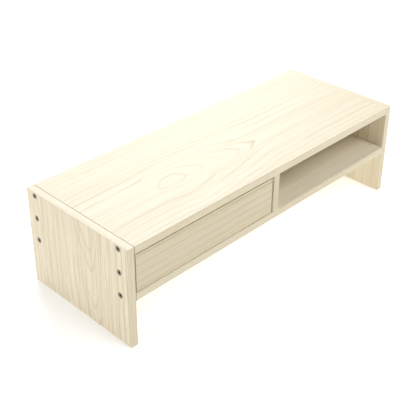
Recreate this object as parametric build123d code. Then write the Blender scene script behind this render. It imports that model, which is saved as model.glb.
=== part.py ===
from build123d import *
import os

# Desk riser for a monitor: two side panels, a top, a shelf and a divider cut from one thickness
# of board, with a drawer in the left bay and an open bay on the right.
# Frame, in millimetres: X along the length, +Y to the back, +Z up. The origin is the middle of
# the footprint, on the surface that the foot pads stand on.

# Driving dimensions
LENGTH = 585.0  # over both side panels
DEPTH = 215.0  # front edge to back edge
BOARD_HEIGHT = 161.0  # side panels, without the pads
BOARD = 12.0  # thickness of every structural board
LEG_ROOM = 74.0  # from the side panels' lower edge to the shelf
PAD_THICKNESS = 1.0
PAD_RADIUS = 4.5
PAD_INSET = 15.0  # pad centre from the front and back edges

EDGING = 0.5  # thickness of the banding glued to every edge that shows
EDGING_ROUND = 0.4  # radius of its two long corners
ARRIS = 0.3  # chamfer on the top panel's upper end corners

SCREW_INSET = 18.0  # fastener line from the front and back edges
HEAD_RADIUS = 4.5
HEAD_RIM = 0.6  # straight side of the head, above its cone
HEAD_SUNK = 0.15  # head below the board's face
HEAD_CLEARANCE = 0.15
SOCKET_FLATS = 4.0
SOCKET_DEPTH = 2.4
THREAD_PITCH = 3.0
THREAD_CLEARANCE = 0.05
# Each kind of screw: length, neck radius, length down to the thread, thread and core radii
PANEL_SCREW = (45.0, 3.15, 12.0, 3.15, 2.3)
RUNNER_SCREW = (18.0, 2.3, 9.0, 2.25, 1.6)
BATTEN_SCREW = (16.0, 1.8, 5.0, 1.75, 1.2)
BATTEN_HEAD_RADIUS = 3.4
BATTEN_SOCKET_FLATS = 2.5

DOWEL_RADIUS = 3.0
DOWEL_CHAMFER = 0.6
DOWEL_CLEARANCE = 0.05
DOWEL_LENGTH = 28.0
SHORT_DOWEL_LENGTH = 22.0
DOWEL_IN_FACE = 8.0  # how far a dowel goes into the face of a board
DOWEL_END_GAP = 0.5  # air at the bottom of a dowel hole
PANEL_DOWEL_Y = 45.0  # dowels of the top and shelf, each side of the middle
DIVIDER_FIXING_Y = 60.0

BACK_THICKNESS = 3.0
BACK_INSET = 10.0  # back panel's outer face from the back edges
BACK_GROOVE_DEPTH = 4.0
GROOVE_PLAY = 0.1  # each side of a sheet in its groove

RUNNER_THICKNESS = 8.0
RUNNER_HEIGHT = 12.0
RUNNER_END_GAP = 0.5  # runner to the back panel

DRAWER_SIDE_GAP = 2.5
DRAWER_TOP_GAP = 3.25
DRAWER_BOTTOM_GAP = 0.5
DRAWER_RECESS = 1.25  # front face behind the stand's front edges
DRAWER_BACK_GAP = 8.5  # drawer to the back panel when shut
DRAWER_BOX_HEIGHT = 52.0
DRAWER_BOX_LIFT = 2.5  # box above the drawer front's lower edge
DRAWER_RUNNER_PLAY = 0.5  # between runner and groove, all round
DRAWER_SHEET = 3.0  # thickness of the drawer bottom
DRAWER_SHEET_LIFT = 5.0  # above the lower edge of the box
DRAWER_SHEET_GROOVE = 4.0
DRAWER_DOWEL_INSET = 9.0  # above the sheet's groove and below the top edge

# Places that follow from them
END = LENGTH / 2
INNER = END - BOARD
FRONT, BACK = -DEPTH / 2, DEPTH / 2
BASE = PAD_THICKNESS
TOP = BASE + BOARD_HEIGHT
TOP_UNDER = TOP - BOARD
SHELF_UNDER = BASE + LEG_ROOM
SHELF_TOP = SHELF_UNDER + BOARD
BAY_MIDDLE = (SHELF_TOP + TOP_UNDER) / 2
HALF = BOARD / 2
SCREW_Y = (FRONT + SCREW_INSET, BACK - SCREW_INSET)
TOP_MIDDLE = TOP - HALF
SHELF_MIDDLE = SHELF_UNDER + HALF
BACK_PANEL = (BACK - BACK_INSET - BACK_THICKNESS, BACK - BACK_INSET)
BACK_GROOVE = (BACK_PANEL[0] - GROOVE_PLAY, BACK_PANEL[1] + GROOVE_PLAY)
BACK_GROOVE_Z = (SHELF_TOP - BACK_GROOVE_DEPTH, TOP_UNDER + BACK_GROOVE_DEPTH)

DRAWER_X = (-INNER + DRAWER_SIDE_GAP, -HALF - DRAWER_SIDE_GAP)
DRAWER_FRONT_Y = (FRONT + DRAWER_RECESS, FRONT + DRAWER_RECESS + BOARD)
DRAWER_FRONT_Z = (SHELF_TOP + DRAWER_BOTTOM_GAP, TOP_UNDER - DRAWER_TOP_GAP)
DRAWER_BOX_Y = (DRAWER_FRONT_Y[1], BACK_PANEL[0] - DRAWER_BACK_GAP)
DRAWER_BOX_Z = (
    DRAWER_FRONT_Z[0] + DRAWER_BOX_LIFT,
    DRAWER_FRONT_Z[0] + DRAWER_BOX_LIFT + DRAWER_BOX_HEIGHT,
)
DRAWER_INSIDE_X = (DRAWER_X[0] + BOARD, DRAWER_X[1] - BOARD)
SHEET_Z = (
    DRAWER_BOX_Z[0] + DRAWER_SHEET_LIFT,
    DRAWER_BOX_Z[0] + DRAWER_SHEET_LIFT + DRAWER_SHEET,
)
SHEET_GROOVE_Z = (SHEET_Z[0] - GROOVE_PLAY, SHEET_Z[1] + GROOVE_PLAY)
DRAWER_DOWEL_Z = (SHEET_Z[1] + DRAWER_DOWEL_INSET, DRAWER_BOX_Z[1] - DRAWER_DOWEL_INSET)
RUNNER_Y = (DRAWER_FRONT_Y[1], BACK_PANEL[0] - RUNNER_END_GAP)
RUNNER_Z = (BAY_MIDDLE - RUNNER_HEIGHT / 2, BAY_MIDDLE + RUNNER_HEIGHT / 2)

# Turns that point a fastener, drawn head up along +Z, into a face
INTO_RIGHT = Rotation(0, -90, 0)  # head faces -X
INTO_LEFT = Rotation(0, 90, 0)  # head faces +X
INTO_ABOVE = Rotation(180, 0, 0)  # head faces -Z


def block(x, y, z):
    """A box between three (low, high) pairs."""
    low_high = (x, y, z)
    size = [high - low for low, high in low_high]
    middle = [(high + low) / 2 for low, high in low_high]
    return Pos(*middle) * Box(*size)


def grown(pair, by):
    """A (low, high) pair moved outwards by the same amount at both ends."""
    return (pair[0] - by, pair[1] + by)


def strip(x, y, z, out, side):
    """Edge banding: a thin strip whose two long corners on its outer side are rounded.
    out is the axis that the strip faces along, and side is -1 or +1."""
    band = block(x, y, z)
    size = band.bounding_box().size
    along = max((Axis.X, size.X), (Axis.Y, size.Y), (Axis.Z, size.Z), key=lambda a: a[1])[0]
    outer = band.edges().filter_by(along).group_by(out)[0 if side < 0 else -1]
    return fillet(outer, EDGING_ROUND)


def screw(kind, head_radius=HEAD_RADIUS, flats=SOCKET_FLATS):
    """A countersunk socket screw along -Z, with the top of its head at z = 0. The thread is
    drawn as rings, one for each turn."""
    length, neck, thread_start, thread, core = kind
    cone_end = HEAD_RIM + head_radius - neck
    tip = thread * 2
    points = [(0, 0), (head_radius, 0), (head_radius, -HEAD_RIM), (neck, -cone_end)]
    points += [(neck, -thread_start), (core, -thread_start - (neck - core))]
    turns = int((length - tip - thread_start - 1) / THREAD_PITCH)
    for turn in range(turns):
        z = -thread_start - 1 - turn * THREAD_PITCH
        points += [
            (core, z - 0.30 * THREAD_PITCH),
            (thread, z - 0.55 * THREAD_PITCH),
            (core, z - 0.80 * THREAD_PITCH),
        ]
    points += [(core, -length + tip), (0, -length)]
    outline = Plane.XZ * make_face(Polyline(*points, close=True))
    body = revolve(outline, Axis.Z)
    socket = extrude(RegularPolygon(flats / 2, 6, major_radius=False), -SOCKET_DEPTH)
    return body - socket


def screw_hole(kind, head_radius=HEAD_RADIUS):
    """The countersunk hole for a screw, along -Z from the board's face at z = 0."""
    length, neck, thread_start, thread, _ = kind
    head = head_radius + HEAD_CLEARANCE
    wall = max(neck, thread) + THREAD_CLEARANCE
    rim = HEAD_SUNK + HEAD_RIM
    cone_end = rim + head - wall
    bottom = length + HEAD_SUNK + DOWEL_END_GAP
    points = [(0, 0), (head, 0), (head, -rim), (wall, -cone_end), (wall, -bottom), (0, -bottom)]
    return revolve(Plane.XZ * make_face(Polyline(*points, close=True)), Axis.Z)


def dowel(length):
    """A wooden pin along Z with chamfered ends, centred on z = 0."""
    pin = Cylinder(DOWEL_RADIUS, length)
    return chamfer(pin.edges().filter_by(GeomType.CIRCLE), DOWEL_CHAMFER)


def dowel_hole(length):
    """The hole round a dowel, with a little air at both ends."""
    return Cylinder(DOWEL_RADIUS + DOWEL_CLEARANCE, length + 2 * DOWEL_END_GAP)


def screws_at(places, kind, head_radius=HEAD_RADIUS, flats=SOCKET_FLATS):
    """One screw at each place, its head just under the face."""
    one = Pos(0, 0, -HEAD_SUNK) * screw(kind, head_radius, flats)
    return [place * one for place in places]


def drilled(board, places, kind, head_radius=HEAD_RADIUS):
    """The board with a countersunk hole at each place."""
    hole = screw_hole(kind, head_radius)
    for place in places:
        board -= place * hole
    return board


def dowelled(board, places, length):
    """The board with a dowel hole at each place."""
    hole = dowel_hole(length)
    for place in places:
        board -= place * hole
    return board


def write(node, solids):
    """Writes one node as parts/NODE.step, from one solid or a list of separate ones."""
    if isinstance(solids, (list, tuple)):
        solids = Compound(children=[s.solid() for s in solids])
    export_step(solids, f"parts/{node}.step")


# Where the fasteners go
def side_screw_places(side):
    """Screws through a side panel into the ends of the top and the shelf."""
    turn = INTO_RIGHT if side < 0 else INTO_LEFT
    return [Pos(side * END, y, z) * turn for z in (TOP_MIDDLE, SHELF_MIDDLE) for y in SCREW_Y]


def end_dowel_places(z):
    """Dowels between a horizontal panel's ends and the side panels."""
    middle = INNER + DOWEL_IN_FACE - DOWEL_LENGTH / 2
    return [
        Pos(side * middle, y, z) * Rotation(0, 90, 0)
        for side in (-1, 1)
        for y in (-PANEL_DOWEL_Y, PANEL_DOWEL_Y)
    ]


LEFT_RUNNER_SCREWS = [Pos(-END, y, BAY_MIDDLE) * INTO_RIGHT for y in SCREW_Y]
RIGHT_RUNNER_SCREWS = [Pos(-HALF - RUNNER_THICKNESS, y, BAY_MIDDLE) * INTO_RIGHT for y in SCREW_Y]
DIVIDER_SCREWS = [
    Pos(0, y, SHELF_UNDER) * INTO_ABOVE for y in (-DIVIDER_FIXING_Y, DIVIDER_FIXING_Y)
]
DIVIDER_DOWELS = [
    Pos(0, y, TOP_UNDER + DOWEL_IN_FACE - SHORT_DOWEL_LENGTH / 2)
    for y in (-DIVIDER_FIXING_Y, DIVIDER_FIXING_Y)
]
TOP_DOWELS = end_dowel_places(TOP_MIDDLE)
SHELF_DOWELS = end_dowel_places(SHELF_MIDDLE)

DRAWER_SIDE_MIDDLES = (DRAWER_X[0] + HALF, DRAWER_X[1] - HALF)
DRAWER_FRONT_DOWELS = [
    Pos(x, DRAWER_FRONT_Y[1] - DOWEL_IN_FACE + SHORT_DOWEL_LENGTH / 2, z) * Rotation(90, 0, 0)
    for x in DRAWER_SIDE_MIDDLES
    for z in DRAWER_DOWEL_Z
]
DRAWER_BACK_DOWELS = [
    Pos(x, DRAWER_BOX_Y[1] - HALF, z) * Rotation(0, 90, 0)
    for x in (
        DRAWER_INSIDE_X[0] - DOWEL_IN_FACE + SHORT_DOWEL_LENGTH / 2,
        DRAWER_INSIDE_X[1] + DOWEL_IN_FACE - SHORT_DOWEL_LENGTH / 2,
    )
    for z in DRAWER_DOWEL_Z
]


def side_panel(side):
    """The board of one side panel, without its banding: screw and dowel holes, and the stopped
    groove for the back panel on its inner face."""
    x = (-END, -INNER) if side < 0 else (INNER, END)
    board = block(x, grown((FRONT, BACK), -EDGING), grown((BASE, TOP), -EDGING))
    groove_x = grown((-INNER, INNER), BACK_GROOVE_DEPTH)
    board -= block(groove_x, BACK_GROOVE, BACK_GROOVE_Z)
    board = drilled(board, side_screw_places(side), PANEL_SCREW)
    if side < 0:
        board = drilled(board, LEFT_RUNNER_SCREWS, RUNNER_SCREW)
    return dowelled(board, TOP_DOWELS + SHELF_DOWELS, DOWEL_LENGTH)


def side_edging(side):
    """Banding on the four edges of a side panel. The front and back strips run full height."""
    x = (-END, -INNER) if side < 0 else (INNER, END)
    between = grown((FRONT, BACK), -EDGING)
    return [
        strip(x, (FRONT, FRONT + EDGING), (BASE, TOP), Axis.Y, -1),
        strip(x, (BACK - EDGING, BACK), (BASE, TOP), Axis.Y, 1),
        strip(x, between, (TOP - EDGING, TOP), Axis.Z, 1),
        strip(x, between, (BASE, BASE + EDGING), Axis.Z, -1),
    ]


def long_edging(z):
    """Banding on the front and back edges of a panel between the sides."""
    x = (-INNER, INNER)
    return [
        strip(x, (FRONT, FRONT + EDGING), z, Axis.Y, -1),
        strip(x, (BACK - EDGING, BACK), z, Axis.Y, 1),
    ]


def top_panel():
    """The top, held between the side panels, with its back panel groove underneath."""
    board = block((-INNER, INNER), grown((FRONT, BACK), -EDGING), (TOP_UNDER, TOP))
    upper = board.edges().filter_by(Axis.Y).group_by(Axis.Z)[-1]
    board = chamfer(upper, ARRIS)
    board -= block((-INNER, INNER), BACK_GROOVE, BACK_GROOVE_Z)
    board = drilled(board, side_screw_places(-1) + side_screw_places(1), PANEL_SCREW)
    board = dowelled(board, TOP_DOWELS, DOWEL_LENGTH)
    return dowelled(board, DIVIDER_DOWELS, SHORT_DOWEL_LENGTH)


def shelf_panel():
    """The shelf, held between the side panels, with holes for the divider's screws."""
    board = block((-INNER, INNER), grown((FRONT, BACK), -EDGING), (SHELF_UNDER, SHELF_TOP))
    board -= block((-INNER, INNER), BACK_GROOVE, BACK_GROOVE_Z)
    board = drilled(board, side_screw_places(-1) + side_screw_places(1), PANEL_SCREW)
    board = drilled(board, DIVIDER_SCREWS, PANEL_SCREW)
    return dowelled(board, SHELF_DOWELS, DOWEL_LENGTH)


def divider_panel():
    """The upright between the two bays. It stops in front of the back panel."""
    board = block((-HALF, HALF), (FRONT + EDGING, BACK_PANEL[0]), (SHELF_TOP, TOP_UNDER))
    board = drilled(board, DIVIDER_SCREWS, PANEL_SCREW)
    board = drilled(board, RIGHT_RUNNER_SCREWS, BATTEN_SCREW, BATTEN_HEAD_RADIUS)
    return dowelled(board, DIVIDER_DOWELS, SHORT_DOWEL_LENGTH)


def back_panel():
    """The thin sheet that closes both bays behind, in grooves on all four sides."""
    reach = BACK_GROOVE_DEPTH - DOWEL_END_GAP
    return block(
        grown((-INNER, INNER), reach), BACK_PANEL, grown((SHELF_TOP, TOP_UNDER), reach)
    )


def left_runner():
    """The batten on the left side panel that the drawer slides on. Its front end is the stop."""
    bar = block((-INNER, -INNER + RUNNER_THICKNESS), RUNNER_Y, RUNNER_Z)
    return drilled(bar, LEFT_RUNNER_SCREWS, RUNNER_SCREW)


def right_runner():
    """The matching batten on the divider, screwed on from inside the bay."""
    bar = block((-HALF - RUNNER_THICKNESS, -HALF), RUNNER_Y, RUNNER_Z)
    return drilled(bar, RIGHT_RUNNER_SCREWS, BATTEN_SCREW, BATTEN_HEAD_RADIUS)


def foot_pads():
    """Four thin round pads stuck under the side panels."""
    pad = Cylinder(PAD_RADIUS, PAD_THICKNESS)
    return [
        Pos(side * (END - HALF), y, PAD_THICKNESS / 2) * pad
        for side in (-1, 1)
        for y in (FRONT + PAD_INSET, BACK - PAD_INSET)
    ]


def drawer_sheet_reach():
    """The drawer bottom's outline: into the grooves of the sides, the front and the back."""
    reach = DRAWER_SHEET_GROOVE - DOWEL_END_GAP
    inside_y = (DRAWER_FRONT_Y[1], DRAWER_BOX_Y[1] - BOARD)
    return grown(DRAWER_INSIDE_X, reach), grown(inside_y, reach)


def sheet_groove():
    """The space that the drawer bottom's grooves take out of the boards round it."""
    x, y = drawer_sheet_reach()
    return block(grown(x, DOWEL_END_GAP), grown(y, DOWEL_END_GAP), SHEET_GROOVE_Z)


def drawer_front():
    """The board of the drawer front, without its banding, with dowel holes and bottom groove."""
    board = block(
        grown(DRAWER_X, -EDGING), DRAWER_FRONT_Y, grown(DRAWER_FRONT_Z, -EDGING)
    )
    board -= sheet_groove()
    return dowelled(board, DRAWER_FRONT_DOWELS, SHORT_DOWEL_LENGTH)


def drawer_front_edging():
    """Banding on the four edges of the drawer front. The top and bottom strips run full width."""
    between = grown(DRAWER_FRONT_Z, -EDGING)
    low_x, high_x = DRAWER_X
    low_z, high_z = DRAWER_FRONT_Z
    return [
        strip(DRAWER_X, DRAWER_FRONT_Y, (high_z - EDGING, high_z), Axis.Z, 1),
        strip(DRAWER_X, DRAWER_FRONT_Y, (low_z, low_z + EDGING), Axis.Z, -1),
        strip((low_x, low_x + EDGING), DRAWER_FRONT_Y, between, Axis.X, -1),
        strip((high_x - EDGING, high_x), DRAWER_FRONT_Y, between, Axis.X, 1),
    ]


def drawer_side(side):
    """One side of the drawer box. The groove outside runs on the runner, and is open at both
    ends, so that the runner's front end meets the back of the drawer front."""
    low_x, high_x = DRAWER_X
    x = (low_x, low_x + BOARD) if side < 0 else (high_x - BOARD, high_x)
    board = block(x, DRAWER_BOX_Y, DRAWER_BOX_Z)
    depth = RUNNER_THICKNESS - DRAWER_SIDE_GAP + DRAWER_RUNNER_PLAY
    groove_x = (low_x, low_x + depth) if side < 0 else (high_x - depth, high_x)
    board -= block(groove_x, DRAWER_BOX_Y, grown(RUNNER_Z, DRAWER_RUNNER_PLAY))
    board -= sheet_groove()
    return dowelled(board, DRAWER_FRONT_DOWELS + DRAWER_BACK_DOWELS, SHORT_DOWEL_LENGTH)


def drawer_back():
    """The back of the drawer box, between its sides."""
    board = block(DRAWER_INSIDE_X, (DRAWER_BOX_Y[1] - BOARD, DRAWER_BOX_Y[1]), DRAWER_BOX_Z)
    board -= sheet_groove()
    return dowelled(board, DRAWER_BACK_DOWELS, SHORT_DOWEL_LENGTH)


def drawer_bottom():
    """The thin sheet under the drawer's contents."""
    x, y = drawer_sheet_reach()
    return block(x, y, SHEET_Z)


def dowels_at(places, length):
    """One dowel at each place."""
    return [place * dowel(length) for place in places]


os.makedirs("parts", exist_ok=True)

write("left_side_panel", side_panel(-1))
write("right_side_panel", side_panel(1))
write("left_side_edging", side_edging(-1))
write("right_side_edging", side_edging(1))
write("top_panel", top_panel())
write("top_panel_edging", long_edging((TOP_UNDER, TOP)))
write("shelf_panel", shelf_panel())
write("shelf_edging", long_edging((SHELF_UNDER, SHELF_TOP)))
write("divider_panel", divider_panel())
write(
    "divider_edging",
    strip((-HALF, HALF), (FRONT, FRONT + EDGING), (SHELF_TOP, TOP_UNDER), Axis.Y, -1),
)
write("back_panel", back_panel())
write("left_side_screws", screws_at(side_screw_places(-1), PANEL_SCREW))
write("right_side_screws", screws_at(side_screw_places(1), PANEL_SCREW))
write("divider_screws", screws_at(DIVIDER_SCREWS, PANEL_SCREW))
write("top_panel_dowels", dowels_at(TOP_DOWELS, DOWEL_LENGTH))
write("shelf_dowels", dowels_at(SHELF_DOWELS, DOWEL_LENGTH))
write("divider_dowels", dowels_at(DIVIDER_DOWELS, SHORT_DOWEL_LENGTH))
write("left_runner", left_runner())
write("right_runner", right_runner())
write("left_runner_screws", screws_at(LEFT_RUNNER_SCREWS, RUNNER_SCREW))
write(
    "right_runner_screws",
    screws_at(RIGHT_RUNNER_SCREWS, BATTEN_SCREW, BATTEN_HEAD_RADIUS, BATTEN_SOCKET_FLATS),
)
write("foot_pads", foot_pads())
write("drawer_front", drawer_front())
write("drawer_front_edging", drawer_front_edging())
write("drawer_left_side", drawer_side(-1))
write("drawer_right_side", drawer_side(1))
write("drawer_back", drawer_back())
write("drawer_bottom", drawer_bottom())
write("drawer_front_dowels", dowels_at(DRAWER_FRONT_DOWELS, SHORT_DOWEL_LENGTH))
write("drawer_back_dowels", dowels_at(DRAWER_BACK_DOWELS, SHORT_DOWEL_LENGTH))
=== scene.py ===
"""Looks of a desk riser for a monitor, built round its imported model.

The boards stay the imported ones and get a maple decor. Banding, screws, dowels and foot pads are made here as
surfaces. Lengths are in metres, X runs along the riser, the drawer opens towards -Y, and Z is up.
"""

import bpy
import numpy as np
from bpy.props import FloatProperty, FloatVectorProperty, IntProperty, PointerProperty
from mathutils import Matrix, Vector


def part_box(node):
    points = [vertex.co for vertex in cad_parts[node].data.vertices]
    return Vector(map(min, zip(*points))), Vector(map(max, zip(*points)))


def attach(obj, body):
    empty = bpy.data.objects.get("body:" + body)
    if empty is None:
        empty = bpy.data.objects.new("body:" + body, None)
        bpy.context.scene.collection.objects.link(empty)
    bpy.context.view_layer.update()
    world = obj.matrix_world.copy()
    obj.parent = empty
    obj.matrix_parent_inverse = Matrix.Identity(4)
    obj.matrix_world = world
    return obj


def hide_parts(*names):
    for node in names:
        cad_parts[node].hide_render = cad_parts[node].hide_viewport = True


bl_info = {
    "name": "Monitor riser",
    "version": (1, 0, 0),
    "blender": (4, 5, 0),
    "location": "3D View > Sidebar > Riser",
    "description": "Finishes a flat-pack monitor riser with one drawer, and lights it",
    "category": "Object",
}

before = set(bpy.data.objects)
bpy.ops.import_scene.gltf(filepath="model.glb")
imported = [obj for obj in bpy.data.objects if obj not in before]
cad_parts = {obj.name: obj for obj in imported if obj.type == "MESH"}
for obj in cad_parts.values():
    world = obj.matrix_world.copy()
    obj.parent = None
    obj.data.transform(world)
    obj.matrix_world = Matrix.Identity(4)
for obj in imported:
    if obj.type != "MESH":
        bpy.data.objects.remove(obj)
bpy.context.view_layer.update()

MM = 0.001
STAND, DRAWER = "stand", "drawer"
AXES = "XYZ"

# The grain. The climb is in rings, the roundness is a share of the distance to a bundle of lines, and the
# pores have the same strength on every board.
FULL_CLIMB = 8.0
TIP_ROUNDNESS = 0.16
PORE_STRENGTH = 0.18

# Painted light and shade: tones that multiply the decor's red, green and blue, so that one decor comes in lit
# and shaded copies. Painted light on the boards inside; painted shade at the front, on the sides, on the side
# panels' banding, and on the banding of the top and the shelf.
EVEN = (1.0, 1.0, 1.0)
PAINTED_LIGHT_INSIDE = (1.08, 1.11, 1.19)
PAINTED_SHADE_FRONT = (0.84, 0.82, 0.755)
PAINTED_SHADE_SIDE = (1.0, 0.985, 0.965)
PAINTED_SHADE_SIDE_EDGE = (0.90, 0.88, 0.82)
PAINTED_SHADE_EDGE = (0.90, 0.89, 0.85)

# Shades that stay the same whatever the decor's settings.
SEAM_CORE_AND_SHADE = (0.36, 0.30, 0.21)
FLAKE_DARK, FLAKE_LIGHT, FLAKE_CRUMB = (0.46, 0.30, 0.16), (0.70, 0.53, 0.33), (0.30, 0.18, 0.09)
BEECH_FLECK = (0.28, 0.15, 0.07)
ZINC_DARK, ZINC_LIGHT = (0.235, 0.212, 0.172), (0.345, 0.31, 0.25)

# A strip's pattern is moved across by this share of the strip's own place, so that a board's strips differ.
STRIP_SHIFT = 0.05
# A surface is taken to face along an axis where its normal's part along it is at least this.
FACING = 0.6
# Radius of the ring inside a dowel's flat end, as a share of the end's radius.
INNER_RING = 0.96


# ---------------------------------------------------------------- settings


class RiserDecor(bpy.types.PropertyGroup):
    """Colours and strengths of the maple decor."""

    cream: FloatVectorProperty(
        name="Cream",
        description="Light wood between the growth lines",
        subtype="COLOR",
        size=3,
        min=0.0,
        max=1.0,
        default=(0.885, 0.805, 0.630),
    )
    peach: FloatVectorProperty(
        name="Peach",
        description="Warmer wood of the broad soft bands",
        subtype="COLOR",
        size=3,
        min=0.0,
        max=1.0,
        default=(0.870, 0.770, 0.580),
    )
    late_wood: FloatVectorProperty(
        name="Late wood",
        description="Thin darker growth lines",
        subtype="COLOR",
        size=3,
        min=0.0,
        max=1.0,
        default=(0.64, 0.555, 0.385),
    )
    line_strength: FloatProperty(
        name="Growth lines",
        description="How strongly the growth lines show",
        subtype="FACTOR",
        min=0.0,
        max=1.0,
        default=0.85,
    )
    fibre_strength: FloatProperty(
        name="Fibres",
        description="How strongly the fine fibres show",
        subtype="FACTOR",
        min=0.0,
        max=1.0,
        default=0.27,
    )
    roughness: FloatProperty(
        name="Roughness",
        description="Roughness of the matt foil",
        subtype="FACTOR",
        min=0.0,
        max=1.0,
        default=0.46,
    )
    seam_width: FloatProperty(
        name="Seam",
        description="Width of the dark line where a board meets the left side panel",
        unit="LENGTH",
        min=0.0,
        default=0.8 * MM,
    )
    relief: FloatProperty(
        name="Relief",
        description="Depth of the pores pressed into the foil",
        unit="LENGTH",
        min=0.0,
        default=0.04 * MM,
    )


class RiserFittings(bpy.types.PropertyGroup):
    """Sizes of the pieces that aren't boards."""

    banding_round: FloatProperty(
        name="Banding corner",
        description="Radius of the banding's two long corners",
        unit="LENGTH",
        min=0.0,
        default=0.4 * MM,
    )
    thread_pitch: FloatProperty(
        name="Thread pitch",
        description="Advance of the screw thread in one turn",
        unit="LENGTH",
        min=0.5 * MM,
        default=3.0 * MM,
    )
    flute_count: IntProperty(
        name="Flutes",
        description="Number of glue flutes round a dowel",
        min=4,
        default=16,
    )
    flute_depth: FloatProperty(
        name="Flute depth",
        description="Depth of a dowel's glue flutes",
        unit="LENGTH",
        min=0.0,
        default=0.25 * MM,
    )


class RiserStage(bpy.types.PropertyGroup):
    """Camera and light."""

    azimuth: FloatProperty(
        name="Azimuth",
        description="Direction of the camera round the riser, 0 from the front, negative from the left",
        subtype="ANGLE",
        default=np.radians(-45.03),
    )
    elevation: FloatProperty(
        name="Elevation",
        description="Angle of the camera above the horizon",
        subtype="ANGLE",
        default=np.radians(29.60),
    )
    lens: FloatProperty(
        name="Lens",
        description="Focal length on a 36 mm sensor, in millimetres",
        min=10.0,
        default=74.6,
    )
    place: FloatVectorProperty(
        name="Camera place",
        description="Where the camera stands",
        subtype="TRANSLATION",
        unit="LENGTH",
        size=3,
        default=(-0.8573, -0.7947, 0.8000),
    )
    shift: FloatVectorProperty(
        name="Shift",
        description="Sideways and upward shift of the lens, as a share of the picture's width",
        size=2,
        default=(0.0287, -0.1211),
    )
    horizon: FloatProperty(
        name="Horizon",
        description="Strength of the even light from near the horizon",
        min=0.0,
        default=0.70,
    )
    zenith: FloatProperty(
        name="Zenith",
        description="Strength of the even light from higher up",
        min=0.0,
        default=0.03,
    )
    floor_glow: FloatProperty(
        name="Floor glow",
        description="Light that the floor gives off itself, which keeps the shadows on it faint",
        min=0.0,
        default=0.37,
    )


# ---------------------------------------------------------------- surfaces


def mesh_piece(name, points, faces, material, smooth_below=35.0):
    """A new object from points and faces, with creases kept sharp above an angle in degrees."""
    mesh = bpy.data.meshes.new(name)
    mesh.from_pydata(points.tolist(), [], [list(f) for f in faces])
    mesh.validate()
    mesh.update()
    mesh.shade_smooth()
    mesh.set_sharp_from_angle(angle=np.radians(smooth_below))
    mesh.materials.append(material)
    piece = bpy.data.objects.new(name, mesh)
    bpy.context.scene.collection.objects.link(piece)
    return piece


def tube_faces(rows, around, first=0):
    """Quads between neighbouring rows of a closed tube, as an array of point numbers."""
    row, step = np.meshgrid(np.arange(rows - 1), np.arange(around), indexing="ij")
    nxt = (step + 1) % around
    quads = [row * around + step, row * around + nxt, (row + 1) * around + nxt, (row + 1) * around + step]
    return first + np.stack(quads, -1).reshape(-1, 4)


def turned(radii, heights):
    """A turned solid about Z. Point (row, angle) is at radius radii[row, angle] and height heights[row], with
    rows from the lowest height upwards, and a point on the axis closes each end."""
    rows, around = radii.shape
    angle = np.arange(around) * 2 * np.pi / around
    height = np.broadcast_to(np.asarray(heights)[:, None], radii.shape)
    grid = np.stack([radii * np.cos(angle), radii * np.sin(angle), height], -1).reshape(-1, 3)
    points = np.vstack([grid, [(0, 0, heights[0]), (0, 0, heights[-1])]])
    step = np.arange(around)
    nxt = (step + 1) % around
    last = (rows - 1) * around
    low_fan = np.stack([nxt, step, np.full(around, rows * around)], -1)
    high_fan = np.stack([last + step, last + nxt, np.full(around, rows * around + 1)], -1)
    return points, [*tube_faces(rows, around).tolist(), *low_fan.tolist(), *high_fan.tolist()]


def placed(points, faces, places):
    """Copies of a shape, one at each (origin, direction) that its Z axis is turned to."""
    all_points, all_faces = [], []
    for origin, direction in places:
        turn = np.array(Vector(direction).to_track_quat("Z", "Y").to_matrix())
        offset = sum(len(p) for p in all_points)
        all_points.append(points @ turn.T + np.asarray(origin, float))
        all_faces += [[offset + i for i in face] for face in faces]
    return np.vstack(all_points), all_faces


def strip_surface(low, high, along, out, side, corner, segments=4):
    """Banding between two corners of a box. Its section is a rectangle whose two outer corners are quarter
    circles, and it is carried straight along one axis. out and side say which way the rounded side faces. The
    third array is the place of each point in the grain: along the strip, across it, and into it."""
    across = ({0, 1, 2} - {along, out}).pop()
    width, thick = (high - low)[across], (high - low)[out]
    turn = np.linspace(0, np.pi / 2, segments + 1)
    sweep, rise = corner * np.sin(turn), thick - corner + corner * np.cos(turn)
    right = np.stack([width - corner + sweep, rise], -1)
    left = np.stack([corner - sweep[::-1], rise[::-1]], -1)
    section = np.vstack([left, right, [(width, 0.0), (0.0, 0.0)]])
    around = len(section)
    points = np.zeros((2, around, 3))
    points[..., across] = low[across] + section[:, 0]
    points[..., out] = high[out] - (thick - section[:, 1]) if side > 0 else low[out] + thick - section[:, 1]
    points[0, :, along], points[1, :, along] = low[along], high[along]
    flat = points.reshape(-1, 3)
    faces = [*tube_faces(2, around).tolist(), list(range(around))[::-1], list(range(around, 2 * around))]
    mirrored = (along, across, out) in ((0, 1, 2), (1, 2, 0), (2, 0, 1))
    if mirrored == (side > 0):
        faces = [f[::-1] for f in faces]
    over = flat[:, across] - low[across] + STRIP_SHIFT * low[out]
    grain = np.stack([flat[:, along], over, flat[:, out] - low[out]], -1)
    return flat, faces, grain


def joined(strips):
    """Several (points, faces, grain) as one, with the point numbers of the faces moved on."""
    all_points, strip_faces, all_grain = zip(*strips)
    faces, start = [], 0
    for points, own_faces in zip(all_points, strip_faces):
        faces += [[start + i for i in face] for face in own_faces]
        start += len(points)
    return np.vstack(all_points), faces, np.vstack(all_grain)


# ---------------------------------------------------------------- materials


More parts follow.
